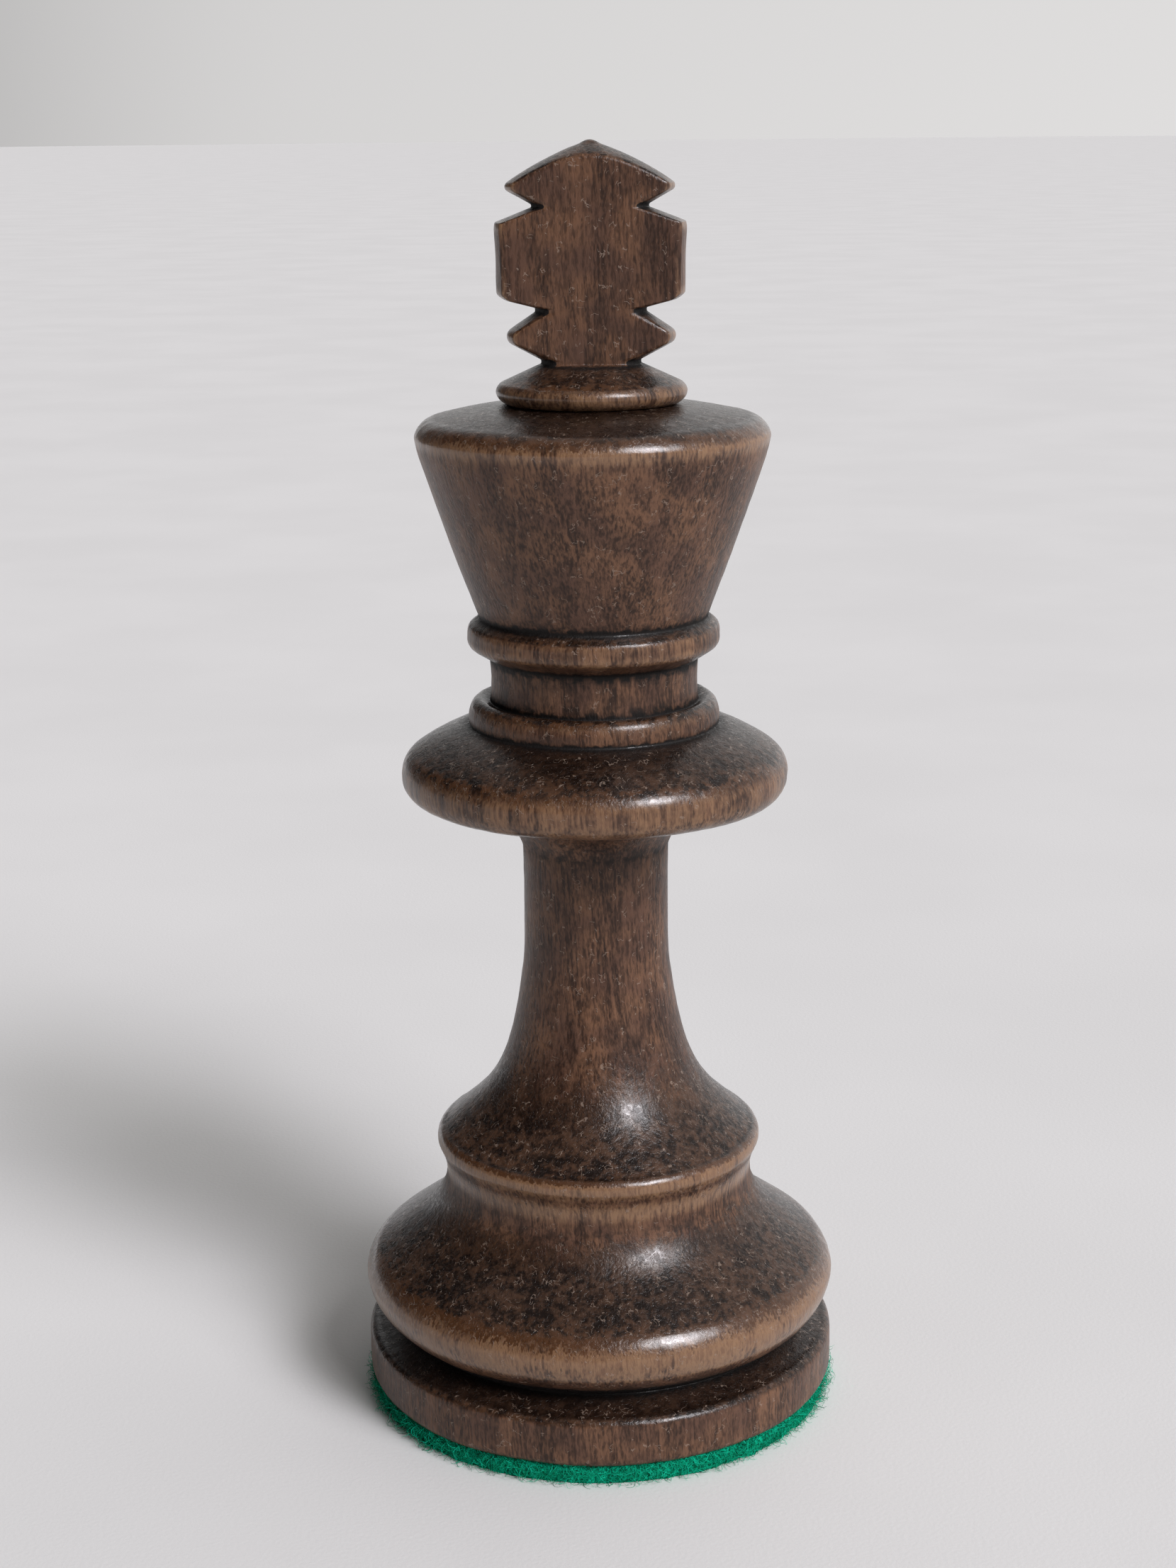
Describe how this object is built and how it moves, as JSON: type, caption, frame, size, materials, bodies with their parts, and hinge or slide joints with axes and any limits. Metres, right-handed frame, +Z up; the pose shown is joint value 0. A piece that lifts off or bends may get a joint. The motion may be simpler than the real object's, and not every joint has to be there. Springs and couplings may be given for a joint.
{
  "type": "chess king",
  "caption": "Turned dark-stained wooden chess king with a flat-sided notched finial, flared crown, slender stem and a weighted, felted round base.",
  "frame": {"origin": "centre of the felt pad's underside, where the king stands", "axes": "+Z up along the turning axis; the two flats of the finial face +Y and -Y"},
  "size_m": [0.0364, 0.0364, 0.095],
  "materials": {
    "stained_wood": "dark brown stain under satin lacquer, lighter on vertical grain, nearly black on end grain",
    "finial_wood": "dark brown stain under satin lacquer",
    "weight_steel": "cut bar end, unpolished",
    "filler": "cast filler, matt",
    "green_felt": "saturated green felt with loose fibres at its edge"
  },
  "bodies": {
    "root": {"body": "stained_wood", "finial": "finial_wood", "weight_slug": "weight_steel", "weight_filler": "filler", "felt_pad": "green_felt"}
  },
  "joints": []
}
